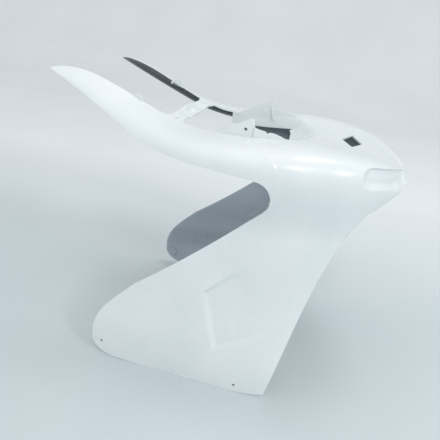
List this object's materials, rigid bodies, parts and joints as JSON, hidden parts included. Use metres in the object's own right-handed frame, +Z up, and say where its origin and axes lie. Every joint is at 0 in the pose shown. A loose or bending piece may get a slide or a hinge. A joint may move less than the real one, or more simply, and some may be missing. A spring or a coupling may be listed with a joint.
{
  "type": "scooter front spoiler",
  "caption": "Moulded front fairing shell of a maxi scooter: rounded nose, swept side wings, and rear arms around a windscreen opening with screw lugs.",
  "frame": {"origin": "middle of the shell's length and width, at the height of the wings' bottom edges", "axes": "+X towards the nose, +Y towards the rider's left, +Z up"},
  "size_m": [0.624, 0.4, 0.5359],
  "materials": {
    "paint": "gloss"
  },
  "bodies": {
    "root": {"front_spoiler": "paint"}
  },
  "joints": []
}
